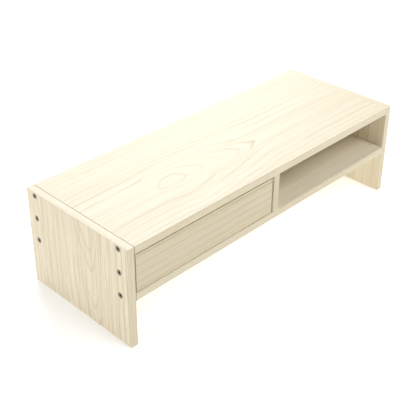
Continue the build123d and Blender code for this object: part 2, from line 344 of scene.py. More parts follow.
class Graph:
    """The shader nodes of one material."""

    def __init__(self, name):
        self.material = bpy.data.materials.new(name)
        self.material.use_nodes = True
        self.tree = self.material.node_tree
        self.tree.nodes.clear()

    def node(self, kind, values=None, **settings):
        made = self.tree.nodes.new("ShaderNode" + kind)
        for key, value in settings.items():
            setattr(made, key, value)
        for socket, value in (values or {}).items():
            self.feed(made.inputs[socket], value)
        return made

    def feed(self, socket, value):
        if isinstance(value, bpy.types.NodeSocket):
            self.tree.links.new(value, socket)
        else:
            socket.default_value = value

    def math(self, operation, *values):
        made = self.node("Math", operation=operation)
        for socket, value in zip(made.inputs, values):
            self.feed(socket, value)
        return made.outputs[0]

    def ramp(self, value, start, end, low=0.0, high=1.0):
        """Goes smoothly from low to high as value goes from start to end."""
        values = {"Value": value, "From Min": start, "From Max": end, "To Min": low, "To Max": high}
        return self.node("MapRange", values, interpolation_type="SMOOTHSTEP").outputs["Result"]

    def curve(self, value, handles):
        """A smooth curve through (place, amount) handles, level beyond the first and the last."""
        places, amounts = zip(*handles)
        low, high = min(amounts), max(max(amounts), min(amounts) + 1e-6)
        values = {"Value": value, "From Min": places[0], "From Max": places[-1], "To Min": 0.0, "To Max": 1.0}
        along = self.node("MapRange", values, clamp=True).outputs["Result"]
        made = self.node("FloatCurve", {"Factor": 1.0, "Value": along})
        points = made.mapping.curves[0].points
        spots = [((p - places[0]) / (places[-1] - places[0]), (a - low) / (high - low)) for p, a in handles]
        for point, spot in zip((points[0], points[-1]), (spots[0], spots[-1])):
            point.location = spot
        for spot in spots[1:-1]:
            points.new(*spot)
        made.mapping.update()
        return self.math("MULTIPLY_ADD", made.outputs["Value"], high - low, low)

    def vector(self, x, y, z):
        return self.node("CombineXYZ", {"X": x, "Y": y, "Z": z}).outputs[0]

    def noise(self, u, v, w, scales, detail=2.0, roughness=0.5, offset=0.0):
        """Noise from 0 to 1 with its own scale, in cells a metre, along each of three coordinates."""
        scaled = [self.math("MULTIPLY", c, s) for c, s in zip((u, v, w), scales)]
        place = self.vector(self.math("ADD", scaled[0], offset), scaled[1], scaled[2])
        values = {"Vector": place, "Scale": 1.0, "Detail": detail, "Roughness": roughness}
        return self.node("TexNoise", values).outputs["Fac"]

    def blend(self, factor, a, b):
        """Colour a where factor is 0, and b where it is 1."""
        made = self.node("Mix", data_type="RGBA", clamp_factor=True)
        self.feed(made.inputs["Factor"], factor)
        for key, value in (("A", a), ("B", b)):
            if not isinstance(value, bpy.types.NodeSocket):
                value = (*value, 1.0)
            self.feed([s for s in made.inputs if s.name == key and s.type == "RGBA"][0], value)
        return [s for s in made.outputs if s.type == "RGBA"][0]

    def finish(self, colour, roughness, height=None, relief=0.0, **values):
        shader = self.node("BsdfPrincipled", {"Base Color": colour, "Roughness": roughness, **values})
        if height is not None:
            bump = self.node("Bump", {"Height": height, "Distance": relief, "Strength": 1.0})
            self.feed(shader.inputs["Normal"], bump.outputs["Normal"])
        output = self.node("OutputMaterial")
        self.feed(output.inputs["Surface"], shader.outputs["BSDF"])
        return self.material


class Figure:
    """How the growth rings lie in a flat-sawn board.

    Each list holds (place along the grain, amount) in metres, or rings for the depth:
    heart     the middle line that the nested points lie on, as a distance across the grain
    above     how far over the heart line the first bundle of long lines runs
    below     how far under it the other bundle runs
    depth     rings that are above the face on the heart line. Where it rises, the rings close into points
    The rest are single amounts:
    inner     number of rings from the heart line to a bundle
    spread    where a bundle starts and ends, as shares of its distance
    bundled   how many rings a bundle holds
    far       distance from the heart line that adds one more ring
    wander    how far a line strays to either side, in metres
    seed      picks the board's own wanderings
    strength  makes the board's lines stronger or weaker
    fibres    makes its fibres stronger or weaker"""

    def __init__(
        self,
        heart,
        above,
        below,
        depth,
        inner=1.0,
        spread=(0.75, 1.3),
        bundled=4.0,
        far=0.045,
        wander=0.004,
        seed=0.0,
        strength=1.0,
        fibres=1.0,
    ):
        self.heart, self.above, self.below, self.depth = heart, above, below, depth
        self.inner, self.spread, self.bundled, self.far = inner, spread, bundled, far
        self.wander, self.seed, self.strength, self.fibres = wander, seed, strength, fibres


def plain_figure(heart, far=0.045, wander=0.010, seed=0.0, strength=1.0, fibres=1.0):
    """Straight grain whose heart line lies at a distance across the grain, mostly off the board."""
    heart_line, width, depth = [[(end, amount) for end in (-0.3, 0.3)] for amount in (heart, 0.02, 1.15)]
    rest = {"far": far, "wander": wander, "seed": seed, "strength": strength, "fibres": fibres}
    return Figure(heart_line, width, width, depth, **rest)


def growth_lines(graph, u, v, w, figure):
    """Strength of the growth lines, from 0 between them to 1 on the darkest edge of a ring.

    A ring lies where Q + D (1 - Q / F) + (distance / far)^2 is a whole number. D is the heart's depth along
    the grain, in rings, and F is the full climb. Q climbs evenly from the heart line to a bundle and quickly
    in it. So where D rises the rings close in points, and far from the heart line they run straight. The
    points are rounded: the even climb is the square root of (share^2 + roundness^2), less the roundness."""
    sway = graph.noise(u, v, w, (3.0, 6.0, 6.0), detail=1.0, offset=figure.seed)
    shake = graph.noise(u, v, w, (22.0, 60.0, 60.0), detail=2.0, offset=figure.seed + 7.0)
    across = graph.math("SUBTRACT", v, graph.curve(u, figure.heart))
    across = graph.math("MULTIPLY_ADD", graph.math("SUBTRACT", sway, 0.5), figure.wander * 2, across)
    across = graph.math("MULTIPLY_ADD", graph.math("SUBTRACT", shake, 0.5), figure.wander, across)
    side = graph.math("GREATER_THAN", across, 0.0)
    below, above = graph.curve(u, figure.below), graph.curve(u, figure.above)
    reach = graph.node("Mix", {"Factor": side, "A": below, "B": above}).outputs["Result"]
    away = graph.math("ABSOLUTE", across)
    share = graph.math("DIVIDE", away, reach)
    blunt = graph.math("SQRT", graph.math("MULTIPLY_ADD", share, share, TIP_ROUNDNESS**2))
    blunt = graph.math("SUBTRACT", blunt, TIP_ROUNDNESS)
    bundle = graph.ramp(share, *figure.spread, 0.0, figure.bundled)
    climb = graph.math("MULTIPLY_ADD", graph.math("MINIMUM", blunt, 1.0), figure.inner, bundle)
    far = graph.math("MULTIPLY", away, 1.0 / figure.far)
    depth = graph.math("MULTIPLY_ADD", graph.math("SUBTRACT", shake, 0.5), 0.35, graph.curve(u, figure.depth))
    fading = graph.math("MAXIMUM", graph.math("MULTIPLY_ADD", climb, -1.0 / FULL_CLIMB, 1.0), 0.0)
    rings = graph.math("MULTIPLY_ADD", depth, fading, graph.math("MULTIPLY_ADD", far, far, climb))
    phase = graph.math("FRACT", rings)
    ring = graph.math("FLOOR", rings)
    own = graph.node("TexWhiteNoise", {"W": graph.math("ADD", ring, figure.seed)}, noise_dimensions="1D")
    edge = graph.math("MULTIPLY", graph.ramp(phase, 0.60, 0.93), graph.ramp(phase, 0.93, 1.0, 1.0, 0.0))
    patches = graph.noise(u, v, w, (7.0, 30.0, 30.0), detail=2.0, offset=figure.seed + 3.0)
    ring_strength = graph.ramp(own.outputs["Value"], 0.0, 1.0, 0.30, 1.0)
    strength = graph.math("MULTIPLY", ring_strength, graph.ramp(patches, 0.28, 0.62, 0.3, 1.0))
    return graph.math("MULTIPLY", edge, strength)


def maple_colour(graph, u, v, w, decor, figure, tint, painted_light_tone=EVEN):
    """Colour, roughness and relief of the maple decor, from growth lines, broad bands, streaks, fibres and
    pores. tint is a seed for the board's own bands. The tone multiplies the colour and paints light and shade:
    values above one give a lit copy of the decor, and values below one give a shaded copy."""
    lines = growth_lines(graph, u, v, w, figure)
    bands = graph.noise(u, v, w, (1.6, 38.0, 38.0), detail=2.0, offset=tint)
    streaks = graph.noise(u, v, w, (4.0, 300.0, 300.0), detail=2.0, offset=tint + 2.0)
    fibres = graph.noise(u, v, w, (22.0, 1100.0, 1100.0), detail=2.0, roughness=0.6, offset=tint + 5.0)
    pores = graph.noise(u, v, w, (260.0, 2600.0, 2600.0), detail=1.0, offset=tint + 9.0)
    soft = graph.ramp(bands, 0.32, 0.72)
    fine = graph.math("ADD", graph.ramp(streaks, 0.42, 0.74, 0.0, 0.75), graph.ramp(fibres, 0.45, 0.8))
    specks = graph.ramp(pores, 0.66, 0.80)
    ground = graph.blend(soft, decor.cream, decor.peach)
    line_strength = decor.line_strength * figure.strength
    fibre_strength = decor.fibre_strength * figure.fibres
    colour = ground
    for pattern, strength in ((lines, line_strength), (fine, fibre_strength), (specks, PORE_STRENGTH)):
        colour = graph.blend(graph.math("MULTIPLY", pattern, strength), colour, decor.late_wood)
    # Painted light and shade: this gives a lit copy of the decor where the tone is above one, and a shaded
    # copy where it is below.
    if painted_light_tone != EVEN:
        colour = graph.node("VectorMath", {0: colour, 1: painted_light_tone}, operation="MULTIPLY").outputs[0]
    dark = graph.math("ADD", graph.math("MULTIPLY", lines, 0.5), graph.math("MULTIPLY", fine, 0.35))
    roughness = graph.math("MULTIPLY_ADD", dark, 0.12, decor.roughness)
    height = graph.math("SUBTRACT", 1.0, graph.math("ADD", dark, graph.math("MULTIPLY", specks, 0.5)))
    return colour, roughness, height


def dark_seam(graph, colour, left_end):
    """Darkens the last hair of a board before its left end, where it meets the left side panel: partly the
    core that shows where the decor stops, partly painted shade of the seam.
    """
    place = graph.node("SeparateXYZ", {"Vector": graph.node("TexCoord").outputs["Object"]}).outputs["X"]
    width = bpy.context.scene.riser_decor.seam_width
    return graph.blend(graph.math("LESS_THAN", place, left_end + width), colour, SEAM_CORE_AND_SHADE)


def chipboard_colour(graph, u, v, w):
    """Pressed flakes of the board's core, each with a shade of its own, and darker crumbs between them. Gives
    the colour and the crumbs."""
    place = graph.vector(u, v, w)
    flakes = graph.node("TexVoronoi", {"Vector": place, "Scale": 420.0, "Randomness": 1.0})
    own = graph.node("TexWhiteNoise", {"Vector": flakes.outputs["Color"]}, noise_dimensions="3D")
    crumbs = graph.noise(u, v, w, (900.0, 900.0, 900.0), detail=3.0)
    flake = graph.blend(own.outputs["Value"], FLAKE_DARK, FLAKE_LIGHT)
    return graph.blend(graph.ramp(crumbs, 0.5, 0.7, 0.0, 0.5), flake, FLAKE_CRUMB), crumbs


def maple_board(name, along, across, figure, tint, faces, painted_light_tone=EVEN, left_end=None):
    """Maple decor on a packed board. The grain runs along one axis. Where the surface faces along an axis
    that isn't in faces, the board shows its chipboard core, as in its holes, grooves and sawn ends. left_end
    is where a board meets the left side panel with a dark seam."""
    decor = bpy.context.scene.riser_decor
    graph = Graph(name)
    source = graph.node("TexCoord")
    place = graph.node("SeparateXYZ", {"Vector": source.outputs["Object"]}).outputs
    through = next(a for a in AXES if a not in (along, across))
    u, v, w = place[along], place[across], place[through]
    colour, roughness, height = maple_colour(graph, u, v, w, decor, figure, tint, painted_light_tone)
    if left_end is not None:
        colour = dark_seam(graph, colour, left_end)
    normal = graph.node("SeparateXYZ", {"Vector": source.outputs["Normal"]}).outputs
    facing = 0.0
    for axis in faces:
        facing = graph.math("MAXIMUM", facing, graph.math("ABSOLUTE", normal[axis]))
    sawn = graph.math("LESS_THAN", facing, FACING)
    core, crumbs = chipboard_colour(graph, u, v, w)
    colour = graph.blend(sawn, colour, core)
    roughness = graph.math("MAXIMUM", roughness, graph.math("MULTIPLY", sawn, 0.9))
    height = graph.math("MULTIPLY_ADD", graph.math("MULTIPLY", sawn, crumbs), -4.0, height)
    return graph.finish(colour, roughness, height, decor.relief)


def maple_banding(name, tint, painted_light_tone=EVEN, left_end=None, painted_light_up=None):
    """The same decor on banding, whose grain follows each strip's own length. Where it is given, the strips
    that face up get a tone of their own, a painted light that makes them look lit from above."""
    decor = bpy.context.scene.riser_decor
    graph = Graph(name)
    # Painted light: strips that face up get their own, lighter tone, as if lit from above.
    if painted_light_up is not None:
        normal = graph.node("SeparateXYZ", {"Vector": graph.node("TexCoord").outputs["Normal"]}).outputs
        painted_light_tone = graph.blend(graph.math("GREATER_THAN", normal["Z"], FACING), painted_light_tone, painted_light_up)
    strip = graph.node("Attribute", attribute_name="strip_place").outputs["Vector"]
    place = graph.node("SeparateXYZ", {"Vector": strip}).outputs
    u, v, w = place["X"], place["Y"], place["Z"]
    figure = plain_figure(heart=0.10, far=0.035, wander=0.003, seed=tint, strength=0.6)
    colour, roughness, height = maple_colour(graph, u, v, w, decor, figure, tint, painted_light_tone)
    if left_end is not None:
        colour = dark_seam(graph, colour, left_end)
    return graph.finish(colour, roughness, height, decor.relief)


def beech(name, along, light, dark):
    """Solid beech: plain straight grain with short dark flecks along it."""
    graph = Graph(name)
    place = graph.node("SeparateXYZ", {"Vector": graph.node("TexCoord").outputs["Object"]}).outputs
    others = [a for a in AXES if a != along]
    u, v, w = place[along], place[others[0]], place[others[1]]
    bands = graph.noise(u, v, w, (9.0, 160.0, 160.0), detail=3.0)
    flecks = graph.noise(u, v, w, (330.0, 2600.0, 2600.0), detail=1.0, offset=4.0)
    fleck = graph.ramp(flecks, 0.60, 0.72)
    ground = graph.blend(graph.ramp(bands, 0.3, 0.7), light, dark)
    colour = graph.blend(graph.math("MULTIPLY", fleck, 0.5), ground, BEECH_FLECK)
    roughness = graph.math("MULTIPLY_ADD", bands, 0.2, 0.42)
    return graph.finish(colour, roughness, graph.math("SUBTRACT", bands, fleck), 0.05 * MM)


def zinc(name):
    """Zinc plated steel: satin, with a faint cloudiness and fine scratches."""
    graph = Graph(name)
    place = graph.node("SeparateXYZ", {"Vector": graph.node("TexCoord").outputs["Object"]}).outputs
    cloud = graph.noise(place["X"], place["Y"], place["Z"], (700.0, 700.0, 700.0), detail=3.0)
    scratch = graph.noise(place["X"], place["Y"], place["Z"], (900.0, 300.0, 6000.0), detail=1.0)
    colour = graph.blend(cloud, ZINC_DARK, ZINC_LIGHT)
    roughness = graph.ramp(cloud, 0.3, 0.7, 0.26, 0.42)
    return graph.finish(colour, roughness, scratch, 0.01 * MM, Metallic=1.0)


def clear_pad(name):
    """Soft clear polymer that has gone a little milky."""
    graph = Graph(name)
    place = graph.node("SeparateXYZ", {"Vector": graph.node("TexCoord").outputs["Object"]}).outputs
    milk = graph.noise(place["X"], place["Y"], place["Z"], (500.0, 500.0, 500.0), detail=2.0)
    colour = graph.blend(milk, (0.80, 0.79, 0.74), (0.88, 0.87, 0.83))
    roughness = graph.ramp(milk, 0.3, 0.7, 0.25, 0.40)
    return graph.finish(colour, roughness, milk, 0.02 * MM)


def matt_floor(name, glow):
    """Plain pale floor with hardly any texture, lit a little from within."""
    graph = Graph(name)
    place = graph.node("SeparateXYZ", {"Vector": graph.node("TexCoord").outputs["Object"]}).outputs
    grain = graph.noise(place["X"], place["Y"], place["Z"], (90.0, 90.0, 90.0), detail=2.0)
    colour = graph.blend(grain, (0.93, 0.93, 0.925), (0.95, 0.95, 0.945))
    roughness = graph.ramp(grain, 0.3, 0.7, 0.75, 0.85)
    white = (1.0, 1.0, 1.0, 1.0)
    return graph.finish(colour, roughness, **{"Emission Color": white, "Emission Strength": glow})


def repaint(node, material):
    """Gives a packed board its finish."""
    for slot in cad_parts[node].material_slots:
        slot.material = material


def hand_over(piece, node, body):
    """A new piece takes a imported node's place and rides on its body."""
    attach(piece, body)
    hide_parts(node)


# ---------------------------------------------------------------- boards


class RISER_OT_side_panels(bpy.types.Operator):
    """Upright grain with nested arches, which point down on the left side panel and up on the right one"""

    bl_idname = "riser.side_panels"
    bl_label = "Side panels"

    def execute(self, context):
        # Both side panels get a tone of a little painted shade on their faces.
        left = Figure(
            heart=[(0.005, -0.034), (0.045, -0.031), (0.110, -0.030), (0.162, -0.028)],
            above=[(0.005, 0.008), (0.045, 0.017), (0.080, 0.027), (0.120, 0.036), (0.162, 0.044)],
            below=[(0.005, 0.018), (0.162, 0.015)],
            depth=[(0.005, 5.6), (0.045, 4.3), (0.075, 3.3), (0.108, 2.3), (0.144, 1.15), (0.162, 0.6)],
            inner=2.4,
            spread=(0.7, 1.3),
            bundled=5.0,
            far=0.036,
            seed=1.0,
            strength=1.15,
            fibres=2.8,
        )
        finish = maple_board("maple_left_side", "Z", "Y", left, tint=11.0, faces="X", painted_light_tone=PAINTED_SHADE_SIDE)
        repaint("left_side_panel", finish)
        right = Figure(
            heart=[(0.005, 0.024), (0.162, 0.018)],
            above=[(0.005, 0.034), (0.162, 0.016)],
            below=[(0.005, 0.038), (0.162, 0.012)],
            depth=[(0.005, 0.6), (0.050, 1.6), (0.162, 5.1)],
            inner=2.0,
            spread=(0.7, 1.3),
            bundled=5.0,
            far=0.042,
            seed=5.0,
            strength=0.70,
            fibres=1.6,
        )
        finish = maple_board("maple_right_side", "Z", "Y", right, tint=37.0, faces="X", painted_light_tone=PAINTED_SHADE_SIDE)
        repaint("right_side_panel", finish)
        return {"FINISHED"}


class RISER_OT_top_panel(bpy.types.Operator):
    """Long flame figure on the top: closed rings left of the middle, then points and lines to the right"""

    bl_idname = "riser.top_panel"
    bl_label = "Top panel"

    def execute(self, context):
        flame = Figure(
            heart=[(-0.28, -0.031), (-0.14, -0.027), (0.0, -0.026), (0.20, -0.026), (0.29, -0.030)],
            above=[
                (-0.28, 0.010),
                (-0.18, 0.014),
                (-0.118, 0.034),
                (-0.04, 0.024),
                (0.02, 0.014),
                (0.20, 0.018),
                (0.29, 0.010),
            ],
            below=[
                (-0.28, 0.014),
                (-0.14, 0.010),
                (-0.09, 0.012),
                (-0.04, 0.020),
                (0.04, 0.015),
                (0.12, 0.009),
                (0.20, 0.014),
                (0.29, 0.013),
            ],
            depth=[
                (-0.28, 1.15),
                (-0.19, 1.15),
                (-0.167, 1.0),
                (-0.14, 0.4),
                (-0.105, 1.0),
                (-0.07, 2.0),
                (-0.032, 3.0),
                (0.005, 4.0),
                (0.05, 5.05),
                (0.29, 5.15),
            ],
            inner=0.65,
            spread=(0.70, 1.7),
            bundled=3.9,
            far=0.037,
            seed=2.0,
            strength=0.85,
        )
        left_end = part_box("top_panel")[0].x
        finish = maple_board("maple_top", "X", "Y", flame, tint=23.0, faces="Z", left_end=left_end)
        repaint("top_panel", finish)
        return {"FINISHED"}


class RISER_OT_shelf_and_divider(bpy.types.Operator):
    """Plainer boards inside: long grain on the shelf and the back panel, upright grain on the divider"""

    bl_idname = "riser.shelf_and_divider"
    bl_label = "Shelf, divider and back"

    def execute(self, context):
        # The shelf and the divider get a tone of painted light, and the back panel gets a tone of painted
        # shade.
        plain = plain_figure(heart=0.07, seed=8.0, strength=0.7, fibres=1.2)
        left_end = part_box("shelf_panel")[0].x
        finish = maple_board("maple_shelf", "X", "Y", plain, 41.0, faces="Z", painted_light_tone=PAINTED_LIGHT_INSIDE, left_end=left_end)
        repaint("shelf_panel", finish)
        upright = plain_figure(heart=0.09, seed=9.0)
        finish = maple_board("maple_divider", "Z", "Y", upright, tint=53.0, faces="X", painted_light_tone=PAINTED_LIGHT_INSIDE)
        repaint("divider_panel", finish)
        sheet = plain_figure(heart=0.30, wander=0.006, seed=10.0)
        finish = maple_board("maple_back", "X", "Z", sheet, tint=61.0, faces="Y", painted_light_tone=PAINTED_SHADE_FRONT)
        repaint("back_panel", finish)
        return {"FINISHED"}


class RISER_OT_drawer_boards(bpy.types.Operator):
    """The drawer front's straight level grain, and the plainer boards of its box"""

    bl_idname = "riser.drawer_boards"
    bl_label = "Drawer boards"

    def execute(self, context):
        front = plain_figure(heart=0.22, far=0.050, wander=0.005, seed=12.0, fibres=1.4)
        # The drawer front gets a tone of painted shade.
        finish = maple_board("maple_drawer_front", "X", "Z", front, tint=71.0, faces="Y", painted_light_tone=PAINTED_SHADE_FRONT)
        repaint("drawer_front", finish)
        side = plain_figure(heart=0.21, far=0.050, wander=0.005, seed=13.0)
        finish = maple_board("maple_drawer_side", "Y", "Z", side, tint=83.0, faces="XZ")
        repaint("drawer_left_side", finish)
        repaint("drawer_right_side", finish)
        back = plain_figure(heart=0.20, far=0.050, wander=0.005, seed=14.0)
        repaint("drawer_back", maple_board("maple_drawer_back", "X", "Z", back, tint=89.0, faces="YZ"))
        bottom = plain_figure(heart=0.05, seed=15.0)
        repaint("drawer_bottom", maple_board("maple_drawer_bottom", "X", "Y", bottom, tint=97.0, faces="Z"))
        return {"FINISHED"}


class RISER_OT_runners(bpy.types.Operator):
    """The two beech runners that the drawer slides on"""

    bl_idname = "riser.runners"
    bl_label = "Runners"

    def execute(self, context):
        finish = beech("beech_runner", "Y", light=(0.66, 0.43, 0.25), dark=(0.55, 0.34, 0.19))
        repaint("left_runner", finish)
        repaint("right_runner", finish)
        return {"FINISHED"}


# ---------------------------------------------------------------- banding


def banded_edges(core, outer, along_first, along_second, sides):
    """Boxes of the strips round a board, as (low, high, along, out, side). core and outer are (low, high)
    corners of the board without and with its banding. along_first strips run over the ends of along_second
    strips."""
    strips = []
    for axis, side in sides:
        low, high = [np.array(c, float) for c in outer]
        along = along_first if axis != along_first else along_second
        if side < 0:
            high[axis] = core[0][axis]
        else:
            low[axis] = core[1][axis]
        if along != along_first:
            low[along], high[along] = core[0][along], core[1][along]
        strips.append((low, high, along, axis, side))
    return strips


def banding_piece(name, node, board, body, lengths, sides, tint, painted_light_tone, seamed=False, painted_light_up=None):
    """All the banding of one board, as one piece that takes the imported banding's place. lengths are the two
    axes that the strips run along, with the one whose strips cover the others' ends first."""
    corner = bpy.context.scene.riser_fittings.banding_round
    strips = banded_edges(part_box(board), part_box(node), *lengths, sides)
    points, faces, grain = joined([strip_surface(*s, corner) for s in strips])
    finish = maple_banding("maple_" + name, tint, painted_light_tone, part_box(node)[0].x if seamed else None, painted_light_up)
    piece = mesh_piece(name, points, faces, finish, smooth_below=50.0)
    attribute = piece.data.attributes.new("strip_place", "FLOAT_VECTOR", "POINT")
    attribute.data.foreach_set("vector", grain.astype(np.float32).ravel())
    hand_over(piece, node, body)


class RISER_OT_banding(bpy.types.Operator):
    """Thin banding with rounded corners on every edge that shows"""

    bl_idname = "riser.banding"
    bl_label = "Edge banding"

    def execute(self, context):
        x, y, z = 0, 1, 2
        round_side = [(y, -1), (y, 1), (z, 1), (z, -1)]
        front_back = [(y, -1), (y, 1)]
        round_front = [(z, 1), (z, -1), (x, -1), (x, 1)]
        # Painted light and shade: every banding gets a tone of painted shade, and the side panels' strips that
        # face up keep the plain decor, so they look lit.
        for name, tint in (("left_side", 101.0), ("right_side", 103.0)):
            nodes = (name + "_edging", name + "_panel")
            banding_piece(name + "_banding", *nodes, STAND, (z, y), round_side, tint, PAINTED_SHADE_SIDE_EDGE, painted_light_up=EVEN)
        nodes = ("top_panel_edging", "top_panel")
        banding_piece("top_banding", *nodes, STAND, (x, z), front_back, 107.0, PAINTED_SHADE_EDGE, seamed=True)
        nodes = ("shelf_edging", "shelf_panel")
        banding_piece("shelf_banding", *nodes, STAND, (x, z), front_back, 109.0, PAINTED_SHADE_EDGE, seamed=True)
        nodes = ("divider_edging", "divider_panel")
        banding_piece("divider_banding", *nodes, STAND, (z, x), [(y, -1)], 113.0, PAINTED_SHADE_FRONT)
        nodes = ("drawer_front_edging", "drawer_front")
        banding_piece("drawer_banding", *nodes, DRAWER, (x, z), round_front, 127.0, PAINTED_SHADE_FRONT)
        return {"FINISHED"}


# ---------------------------------------------------------------- fittings


class ScrewSize:
    """Sizes of a countersunk socket screw in millimetres: its length, how far down the thread starts, the
    radii of head, neck, thread and core, and the width across the socket's flats."""

    def __init__(self, length, thread_start, head, neck, thread, core, flats):
        self.length, self.thread_start = length * MM, thread_start * MM
        self.head, self.neck, self.thread, self.core = head * MM, neck * MM, thread * MM, core * MM
        self.flats = flats * MM
        self.rim, self.bevel, self.shoulder = 0.6 * MM, 0.18 * MM, 0.4 * MM
        self.socket, self.socket_bottom = 2.4 * MM, 2.75 * MM


PANEL_SCREW = ScrewSize(length=45, thread_start=12, head=4.5, neck=3.15, thread=3.15, core=2.3, flats=4.0)
RUNNER_SCREW = ScrewSize(length=18, thread_start=9, head=4.5, neck=2.3, thread=2.25, core=1.6, flats=4.0)
BATTEN_SCREW = ScrewSize(length=16, thread_start=5, head=3.4, neck=1.8, thread=1.75, core=1.2, flats=2.5)

DOWEL_RADIUS, DOWEL_CHAMFER = 3.0 * MM, 0.6 * MM
LONG_DOWEL, SHORT_DOWEL = 28 * MM, 22 * MM
PAD_RADIUS = 4.5 * MM


def screw_surface(size, pitch, around=36, rows_a_turn=10):
    """A screw with its head up along +Z and the head's top at z = 0.

    The radius in the thread is core + (thread - core) * ridge. The ridge is 1 - 4 |s - 1/2| where that is
    positive, and s is the fraction of z / pitch + angle / (2 pi). The thread fades in under the neck and out
    at the tip. In the socket the radius is (flats / 2) / cos of the angle from the middle of the nearest
    flat, which draws a hexagon."""
    angle = np.arange(around) * 2 * np.pi / around
    tip = 2.0 * size.thread
    rows = int((size.length - size.thread_start) / pitch * rows_a_turn)
    run = np.linspace(-size.length, -size.thread_start, rows)
    from_tip = (run + size.length) / tip
    taper = np.clip(from_tip, 0.02, 1.0)
    fade = np.clip((-size.thread_start - run) / pitch, 0.0, 1.0) * np.clip(from_tip, 0.0, 1.0)
    s = np.mod(run[:, None] / pitch + angle / (2 * np.pi), 1.0)
    ridge = np.clip(1 - 4 * np.abs(s - 0.5), 0.0, 1.0)
    threaded = size.core * taper[:, None] + (size.thread - size.core) * ridge * fade[:, None]
    flat_angle = np.mod(angle, np.pi / 3) - np.pi / 6
    hexagon = (size.flats / 2) / np.cos(flat_angle)
    circle = np.ones(around)
    cone_end = size.rim + size.head - size.neck
    bevel = size.bevel
    above = [
        (size.neck * circle, -size.thread_start + size.shoulder),
        (size.neck * circle, -cone_end),
        (size.head * circle, -size.rim),
        (size.head * circle, -bevel),
        ((size.head - 0.3 * bevel) * circle, -0.3 * bevel),
        ((size.head - bevel) * circle, 0.0),
        (hexagon + bevel, 0.0),
        (hexagon, -bevel),
        (hexagon, -size.socket),
        (hexagon * 0.55, -size.socket_bottom),
    ]
    radii = np.vstack([threaded, *[r for r, _ in above]])
    heights = np.concatenate([run, [h for _, h in above]])
    return turned(radii, heights)


def dowel_surface(length, radius, flutes, depth, chamfer):
    """A pin along Z, centred on the origin. Its radius is radius - depth * (1/2 + 1/2 cos(flutes * angle))^4
    between the chamfered ends."""
    angle = np.arange(flutes * 6) * 2 * np.pi / (flutes * 6)
    groove = depth * (0.5 + 0.5 * np.cos(flutes * angle)) ** 4
    body = radius - groove
    end = np.minimum(body, radius - chamfer)
    half = length / 2
    heights = np.array([-half, -half, -half + chamfer, half - chamfer, half, half])
    radii = np.vstack([end * INNER_RING, end, body, body, end, end * INNER_RING])
    return turned(radii, heights)


def pad_surface(radius, thickness):
    """A low pad that stands on z = 0. Its edge swells as a half superellipse of power 4, and it is flat on
    both sides."""
    swing = np.linspace(-np.pi / 2, np.pi / 2, 13)
    bulge = np.abs(np.cos(swing)) ** 0.5
    lift = np.sign(np.sin(swing)) * np.abs(np.sin(swing)) ** 0.5
    edge = 0.35 * thickness
    radii = (radius - edge) + edge * bulge
    return turned(np.repeat(radii[:, None], 40, 1), thickness / 2 * (1 + lift))


def screw_piece(name, node, size, places):
    """One piece on the stand that holds a screw at each (head top, direction the head faces)."""
    pitch = bpy.context.scene.riser_fittings.thread_pitch
    points, faces = placed(*screw_surface(size, pitch), places)
    piece = mesh_piece(name, points, faces, bpy.data.materials["zinc_screw_satin"], smooth_below=32.0)
    hand_over(piece, node, STAND)


def dowel_piece(name, node, length, places, body):
    """One piece that holds a dowel at each (middle, direction)."""
    fittings = bpy.context.scene.riser_fittings
    shape = dowel_surface(length, DOWEL_RADIUS, fittings.flute_count, fittings.flute_depth, DOWEL_CHAMFER)
    points, faces = placed(*shape, places)
    piece = mesh_piece(name, points, faces, bpy.data.materials["beech_dowel_plain"], smooth_below=40.0)
    hand_over(piece, node, body)


class RISER_OT_screws(bpy.types.Operator):
    """Countersunk socket screws with a real thread"""

    bl_idname = "riser.screws"
    bl_label = "Screws"

    def execute(self, context):
        zinc("zinc_screw_satin")
        for node, side in (("left_side_screws", -1), ("right_side_screws", 1)):
            low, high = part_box(node)
            r = PANEL_SCREW.head
            head_x = low.x if side < 0 else high.x
            ys, zs = (low.y + r, high.y - r), (low.z + r, high.z - r)
            places = [((head_x, y, z), (side, 0, 0)) for y in ys for z in zs]
            screw_piece(node.replace("screws", "socket_screws"), node, PANEL_SCREW, places)
        for node, size in (("left_runner_screws", RUNNER_SCREW), ("right_runner_screws", BATTEN_SCREW)):
            low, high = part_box(node)
            ys = (low.y + size.head, high.y - size.head)
            places = [((low.x, y, (low.z + high.z) / 2), (-1, 0, 0)) for y in ys]
            screw_piece(node.replace("screws", "socket_screws"), node, size, places)
        low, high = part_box("divider_screws")
        r = PANEL_SCREW.head
        places = [(((low.x + high.x) / 2, y, low.z), (0, 0, -1)) for y in (low.y + r, high.y - r)]
        screw_piece("divider_socket_screws", "divider_screws", PANEL_SCREW, places)
        return {"FINISHED"}


